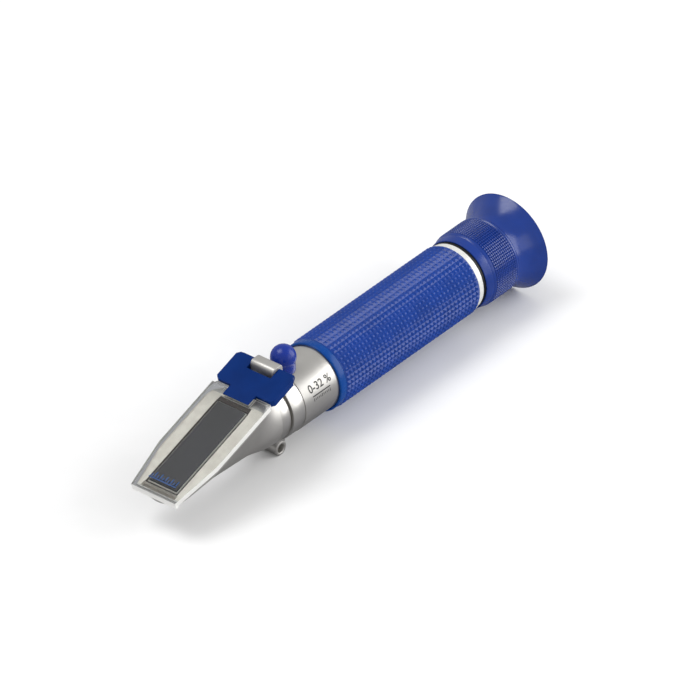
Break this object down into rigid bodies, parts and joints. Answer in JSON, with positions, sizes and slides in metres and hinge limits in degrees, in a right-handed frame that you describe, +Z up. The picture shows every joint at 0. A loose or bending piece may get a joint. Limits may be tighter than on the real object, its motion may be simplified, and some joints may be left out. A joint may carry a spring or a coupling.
{
  "type": "hand refractometer",
  "caption": "Hand-held refractometer with a sloped prism under a hinged clear cover, a rubber grip, a calibration screw under a cap and a screw-focused eyepiece.",
  "frame": {"origin": "middle of the object on the surface it lies on, under the centre of its bounding box", "axes": "+X along the optical axis towards the eye, -X towards the sample prism, +Z up with the cover on top, Y across along the cover's hinge pin"},
  "size_m": [0.1994, 0.0376, 0.0409],
  "materials": {
    "cast_head": "satin, bead blasted",
    "tube_silver": "satin anodised",
    "trim_blue": "smooth moulded",
    "grip_rubber": "moulded pyramid pattern",
    "ring_silver": "satin",
    "black_plastic": "moulded",
    "focus_blue": "moulded, fine knurl",
    "eyecup_rubber": "smooth moulded",
    "cap_rubber": "smooth moulded",
    "frame_blue": "smooth moulded",
    "cover_clear": "clear",
    "prism_glass": "polished",
    "lens_glass": "polished",
    "seal_black": "matte",
    "steel": "turned",
    "brass": "turned",
    "black_metal": "black anodised"
  },
  "bodies": {
    "root": {"head_casting": "cast_head", "prism": "prism_glass", "prism_seal": "seal_black", "hinge_pin": "steel", "main_tube": "tube_silver", "front_ring": "trim_blue", "grip_sleeve": "grip_rubber", "rear_ring": "ring_silver", "spigot_o_ring": "seal_black", "calibration_bush": "brass", "arm_bracket": "black_metal", "bracket_screws": "steel", "arm_pivot_pin": "steel", "arm_return_spring": "steel", "baffle": "black_metal", "reticle_holder": "black_metal", "reticle": "lens_glass", "reticle_retainer": "black_metal", "reticle_screws": "steel", "focus_tube": "black_plastic", "guide_screw": "steel"},
    "cover": {"cover_plate": "cover_clear", "cover_hinge_frame": "frame_blue"},
    "cap": {"calibration_cap": "cap_rubber"},
    "pad": {"calibration_pad": "brass"},
    "screw": {"calibration_screw": "steel"},
    "arm": {"lens_arm": "brass", "bimetal_strip": "steel", "objective_cell": "black_metal", "objective_lens": "lens_glass", "objective_retainer": "black_metal"},
    "eyepiece": {"eyepiece_barrel": "black_plastic", "barrel_o_ring": "seal_black", "field_lens": "lens_glass", "lens_spacer": "black_plastic", "eye_lens": "lens_glass", "lens_retainer": "black_plastic"},
    "focus": {"focus_ring": "focus_blue", "barrel_retainer": "black_plastic", "eyecup": "eyecup_rubber"}
  },
  "joints": [
    {"name": "cover_hinge", "type": "hinge", "parent": "root", "child": "cover", "pos_m": [-0.036, 0, 0.0358], "axis": [0, 1, 0], "range_deg": [0, 130]},
    {"name": "cap_pull", "type": "slide", "parent": "root", "child": "cap", "axis": [0, 0, 1], "range_m": [0, 0.003]},
    {"name": "calibration_advance", "type": "slide", "parent": "root", "child": "pad", "axis": [0, 0, 1], "range_m": [-0.00036, 0.00036]},
    {"name": "calibration_turn", "type": "hinge", "parent": "pad", "child": "screw", "pos_m": [-0.0266, 0, 0.0308], "axis": [0, 0, 1], "range_deg": [-250, 250]},
    {"name": "lens_arm_tilt", "type": "hinge", "parent": "root", "child": "arm", "pos_m": [-0.0066, 0, 0.026], "axis": [0, 1, 0], "range_deg": [-1.05, 1.05]},
    {"name": "focus_slide", "type": "slide", "parent": "root", "child": "eyepiece", "axis": [1, 0, 0], "range_m": [-0.00205, 0.00305]},
    {"name": "focus_turn", "type": "hinge", "parent": "eyepiece", "child": "focus", "pos_m": [0.08, 0, 0.0188], "axis": [1, 0, 0], "range_deg": [-144, 216]}
  ],
  "couplings": [
    {"joint": "focus_slide", "follows": "focus_turn", "m_per_rad": 0.00079577},
    {"joint": "calibration_advance", "follows": "calibration_turn", "m_per_rad": 0.000079577},
    {"joint": "lens_arm_tilt", "follows": "calibration_turn", "ratio": 0.0039789}
  ]
}
